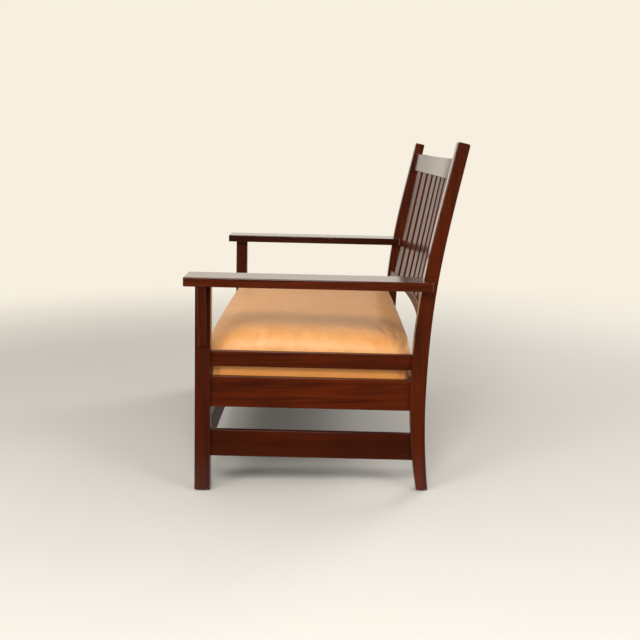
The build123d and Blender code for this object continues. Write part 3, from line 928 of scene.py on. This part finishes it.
    def pad(self) -> Piece:
        """Makes the foam that the leather is drawn over, cut flat where it lies on the hessian."""
        mesh = self.form(self.foam_inset)
        floor = box_in_square("hessian_sheet")[1].z
        cut = bmesh.ops.bisect_plane(mesh, geom=mesh.verts[:] + mesh.edges[:] + mesh.faces[:],
                                     plane_co=(0, 0, floor), plane_no=(0, 0, 1), clear_inner=True)
        rim = [item for item in cut["geom_cut"] if isinstance(item, bmesh.types.BMEdge)]
        bmesh.ops.contextual_create(mesh, geom=rim)
        return new_piece("foam_pad", mesh)

    def build(self) -> None:
        """Makes the padded pieces and dresses them."""
        cover, pad = self.cover(), self.pad()
        finish_piece(cover, COWHIDE.make(), "tan_leather", "leather_cover")
        finish_piece(pad, FOAM.make(), "seat_foam", "seat_pad")


@dataclass
class SeatBase:
    """What carries the pad: boards, interlaced straps and hessian, with a dust cloth stapled below."""

    strap_thickness: float = 1.3 * MM
    crimp: float = 0.75 * MM           # how far a strap rises and dips as it passes the others
    strap_steps: int = 8               # between one crossing and the next
    grid_step: float = 20 * MM
    dust_sag: float = 1.5 * MM
    staple_pitch: float = 62 * MM
    staple_crown: float = 11 * MM
    staple_wire: float = 0.9 * MM
    staple_inset: float = 9 * MM
    staple_sides: int = 6

    def straps(self, name: str, other: str, along: int, parity: int) -> Piece:
        """Weaves one layer of straps over and under the other.

        Args:
            name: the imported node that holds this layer.
            other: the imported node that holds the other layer.
            along: the axis that the straps run along, 0 or 1.
            parity: 0 if the first crossing of the first strap goes over, 1 if it goes under.

        Returns:
            The piece.
        """
        across = 1 - along
        own, crossed = islands(name), islands(other)
        crossings = sorted((low[along] + high[along]) / 2 for low, high in crossed)
        middle = (min(low.z for low, _ in own + crossed) + max(high.z for _, high in own + crossed)) / 2
        mesh = bmesh.new()
        for row, (low, high) in enumerate(sorted(own, key=lambda pair: pair[0][across])):
            stops = [low[along], *crossings, high[along]]
            levels = [0, *[(-1) ** (k + row + parity) for k in range(1, len(stops) - 1)], 0]
            corners = ((low[across], -1), (high[across], -1), (high[across], 1), (low[across], 1))
            rings = []
            for index, (a, b) in enumerate(zip(stops, stops[1:])):
                last = index == len(stops) - 2
                for i in range(self.strap_steps + last):
                    share = i / self.strap_steps
                    turn = levels[index] + (levels[index + 1] - levels[index]) * smooth_step(share, 0, 1)
                    ring = []
                    for side, lift in corners:
                        spot = Vector((0, 0, middle + self.crimp * turn + lift * self.strap_thickness / 2))
                        spot[along], spot[across] = a + (b - a) * share, side
                        ring.append(mesh.verts.new(spot))
                    rings.append(ring)
            skin(mesh, rings)
        bmesh.ops.recalc_face_normals(mesh, faces=mesh.faces)
        return new_piece(f"{name}_woven", mesh, smooth=False)

    def spread_cloth(self, name: str, low: Vector, high: Vector, z: float, sag: float) -> Piece:
        """Spreads a cloth between its edges, with a small sag in its middle.

        Args:
            name: the piece's name.
            low: the lowest corner of its space.
            high: the highest corner of its space.
            z: the height of its edges.
            sag: how far its middle sinks.

        Returns:
            The piece.
        """
        counts = [round((high[i] - low[i]) / self.grid_step) for i in (0, 1)]
        across, along = ([i / count for i in range(count + 1)] for count in counts)

        def spot(a: float, b: float) -> Vector:
            """Gives the place at a share of the width and a share of the depth."""
            dip = sag * (math.sin(math.pi * a) * math.sin(math.pi * b)) ** 0.5
            return Vector((low.x + (high.x - low.x) * a, low.y + (high.y - low.y) * b, z - dip))

        mesh = bmesh.new()
        rows = [[mesh.verts.new(spot(a, b)) for b in along] for a in across]
        for a, b in zip(rows, rows[1:]):
            for j in range(counts[1]):
                mesh.faces.new((a[j], b[j], b[j + 1], a[j + 1]))
        return new_piece(name, mesh)

    def edge_places(self, low: Vector, high: Vector) -> list[tuple[Vector, float]]:
        """Spaces the staples round a rectangle, each with the turn of its crown."""
        places = []
        for along in (0, 1):
            across = 1 - along
            count = round((high[along] - low[along]) / self.staple_pitch)
            for i in range(count):
                for side in (low[across] + self.staple_inset, high[across] - self.staple_inset):
                    spot = Vector((0, 0, low.z))
                    spot[along] = low[along] + (high[along] - low[along]) * (i + 0.5) / count
                    spot[across] = side
                    places.append((spot, along * math.pi / 2))
        return places

    def staples(self, low: Vector, high: Vector) -> Piece:
        """Makes the staples' crowns, each a short round wire with its legs turned up into the board."""
        wire, half, leg = self.staple_wire / 2, self.staple_crown / 2, 2 * self.staple_wire
        # Along the crown and up; the third is how far the wire has turned, in quarters of a half turn
        path = ((-half, leg, 0), (-half, wire, 1), (-half + wire, 0, 2),
                (half - wire, 0, 2), (half, wire, 3), (half, leg, 4))
        angles = [math.tau * k / self.staple_sides for k in range(self.staple_sides)]
        mesh = bmesh.new()
        for spot, turn in self.edge_places(low, high):
            laid = Matrix.Translation(spot) @ Matrix.Rotation(turn, 4, "Z")
            rings = []
            for x, z, quarters in path:
                tilt = quarters * math.pi / 4
                rings.append([mesh.verts.new(laid @ Vector((
                    x + wire * math.cos(a) * math.cos(tilt), wire * math.sin(a),
                    z - wire * math.cos(a) * math.sin(tilt)))) for a in angles])
            skin(mesh, rings)
        bmesh.ops.recalc_face_normals(mesh, faces=mesh.faces)
        return new_piece("dust_cloth_staples", mesh)

    def build(self) -> None:
        """Makes and dresses the boards, straps and cloths."""
        grains = {"seat_frame_front": Grain.ALONG, "seat_frame_back": Grain.ALONG}
        boards = sorted(name for name in frame["nodes"] if name.startswith("seat_frame"))
        for board, name in enumerate(boards):
            set_material(frame["nodes"][name], PINE.make(grains.get(name, Grain.ACROSS), board))
        log.info("seat: %d boards dressed", len(boards))
        jute = JUTE.make()
        crosswise, lengthwise = "webbing_crosswise", "webbing_lengthwise"
        finish_piece(self.straps(crosswise, lengthwise, 1, 0), jute, "jute_webbing", crosswise)
        finish_piece(self.straps(lengthwise, crosswise, 0, 1), jute, "jute_webbing", lengthwise)
        low, high = box_in_square("hessian_sheet")
        hessian = self.spread_cloth("hessian", low, high, high.z, 0.0)
        finish_piece(hessian, HESSIAN.make(), "hessian", "hessian_sheet")
        low, high = box_in_square("dust_cover")
        dust = self.spread_cloth("dust_cloth", low, high, low.z, -self.dust_sag)
        staples = self.staples(low, high)
        finish_piece(dust, CAMBRIC.make(), "dust_cloth", "dust_cover")
        finish_piece(staples, ZINC.make(), "zinc_steel")


@dataclass
class Stage:
    """The camera, the lamps, the floor and the white round them."""

    lens: float = 58.65
    eye: tuple[float, float, float] = (3.711, -0.0120, 1.017)
    pitch: float = 9.5
    yaw: float = -0.38
    backdrop: str = "#F7EFDF"
    floor_tone: str = "#DDD8CE"
    floor_roughness: float = 0.8
    floor_shine: float = 0.2
    floor_half: float = 40.0
    fade_span: Span = (1.6, 4.2)       # how far from the settle the floor turns into the backdrop
    ambient: float = 0.5
    dim: float = 0.03                  # what gloss shows of the studio's dark side, past the right end
    dim_floor: Span = (0.2, 1.3)       # how far past the middle that side's floor begins and is all dark
    dim_sky: Span = (-0.1, 0.45)       # and the same for the way that a ray leaves by

    # Each lamp's name, place, width and power in watts
    LAMPS = (
        ("left_softbox", (3.6, -2.4, 1.9), 1.8, 60),
        ("right_softbox", (3.4, 2.6, 1.7), 1.8, 48),
        ("top_softbox", (3.7, -0.3, 2.8), 1.2, 73),
        ("back_softbox", (-3.4, 2.8, 2.6), 2.0, 70),
    )

    def camera(self) -> None:
        """Sets the camera where the photograph was taken from."""
        pitch, yaw = math.radians(self.pitch), math.radians(self.yaw)
        ahead = Vector((-math.cos(yaw) * math.cos(pitch), math.sin(yaw) * math.cos(pitch), -math.sin(pitch)))
        right = Vector((math.sin(yaw), math.cos(yaw), 0))
        up = right.cross(ahead)
        data = bpy.data.cameras.new("camera")
        data.lens = self.lens
        camera = add_object("camera", data)
        camera.matrix_world = Matrix.Translation(self.eye) @ Matrix((right, up, -ahead)).transposed().to_4x4()
        bpy.context.scene.camera = camera

    def lamps(self) -> None:
        """Adds the soft lamps, each aimed at the middle of the settle."""
        for name, place, size, power in self.LAMPS:
            data = bpy.data.lights.new(name, "AREA")
            data.shape, data.size, data.energy = "DISK", size, power
            lamp = add_object(name, data)
            lamp.location = place
            aim = Vector((0, 0, CAD_BOX[1].z / 2)) - lamp.location
            lamp.rotation_euler = aim.to_track_quat("-Z", "Y").to_euler()

    def glow(self, tree: Tree, kind: str, strength: float) -> Socket:
        """Gives the backdrop's white at a strength, as a background or an emission."""
        return add_node(tree, kind, {"Color": linear(self.backdrop), "Strength": strength}).outputs[0]

    def world(self) -> None:
        """Lights the object from all round, and shows white to the camera and to gloss."""
        world = bpy.data.worlds.new("studio")
        world.use_nodes = True
        tree = world.node_tree
        tree.nodes.clear()
        kind = "ShaderNodeBackground"
        light = add_node(tree, kind, {"Color": (1, 1, 1, 1), "Strength": self.ambient}).outputs[0]
        way = add_node(tree, "ShaderNodeTexCoord").outputs["Generated"]
        white, dark = (self.glow(tree, kind, strength) for strength in (1.0, self.dim))
        studio = self.dimmed(tree, way, self.dim_sky, white, dark)
        mixed = add_node(tree, "ShaderNodeMixShader", {0: self.seen(tree), 1: light, 2: studio})
        add_node(tree, "ShaderNodeOutputWorld", {"Surface": mixed.outputs[0]})
        bpy.context.scene.world = world

    @staticmethod
    def seen(tree: Tree) -> Socket:
        """Gives 1 for a ray that shows the backdrop, from the camera, off gloss or through glass."""
        path = add_node(tree, "ShaderNodeLightPath").outputs
        either = maths(tree, "MAXIMUM", path["Is Camera Ray"], path["Is Glossy Ray"])
        return maths(tree, "MAXIMUM", either, path["Is Transmission Ray"])

    @staticmethod
    def dimmed(tree: Tree, vector: Socket, side: Span, shown: Socket, dark: Socket) -> Socket:
        """Shows gloss a dark side of the studio.

        Args:
            tree: the node tree.
            vector: a place or a way, whose X tells the side.
            side: where along X the dark starts and is full.
            shown: the shader elsewhere and for other rays.
            dark: the dark side's shader.

        Returns:
            The mixed shader.
        """
        ahead = add_node(tree, "ShaderNodeSeparateXYZ", {"Vector": vector}).outputs["X"]
        gloss = add_node(tree, "ShaderNodeLightPath").outputs["Is Glossy Ray"]
        hidden = maths(tree, "MULTIPLY", spread(tree, ahead, side, soft=True), gloss)
        return add_node(tree, "ShaderNodeMixShader", {0: hidden, 1: shown, 2: dark}).outputs[0]

    def floor(self) -> None:
        """Lays a pale floor that fades into the backdrop well away from the settle."""
        mesh = bmesh.new()
        bmesh.ops.create_grid(mesh, x_segments=2, y_segments=2, size=self.floor_half)
        floor = mesh_object("floor", mesh)
        material, tree, shader = new_material("floor_painted_matt")
        feed(tree, shader, {"Base Color": linear(self.floor_tone), "Roughness": self.floor_roughness,
                            "Specular IOR Level": self.floor_shine})
        place = object_place(tree)
        away = add_node(tree, "ShaderNodeVectorMath", {0: place}, operation="LENGTH").outputs["Value"]
        faded = maths(tree, "MULTIPLY", spread(tree, away, self.fade_span, soft=True), self.seen(tree))
        white, dark = (self.glow(tree, "ShaderNodeEmission", strength) for strength in (1.0, self.dim))
        mixed = add_node(tree, "ShaderNodeMixShader", {0: faded, 1: shader.outputs[0], 2: white}).outputs[0]
        studio = self.dimmed(tree, place, self.dim_floor, mixed, dark)
        output = next(node for node in tree.nodes if node.type == "OUTPUT_MATERIAL")
        feed(tree, output, {"Surface": studio})
        set_material(floor, material)

    def build(self) -> None:
        """Sets up the whole stage."""
        bpy.context.scene.view_settings.view_transform = "Standard"
        self.camera()
        self.world()
        self.floor()
        self.lamps()


def main() -> None:
    """Dresses the settle and sets up its stage."""
    logging.basicConfig(level=logging.INFO, format="%(message)s")
    GluedFrame(MAHOGANY, POPLAR, MILL_STEEL, ZINC).dress(frame["nodes"])
    LooseSeat().build()
    SeatBase().build()
    Stage().build()


if __name__ == "__main__":
    main()
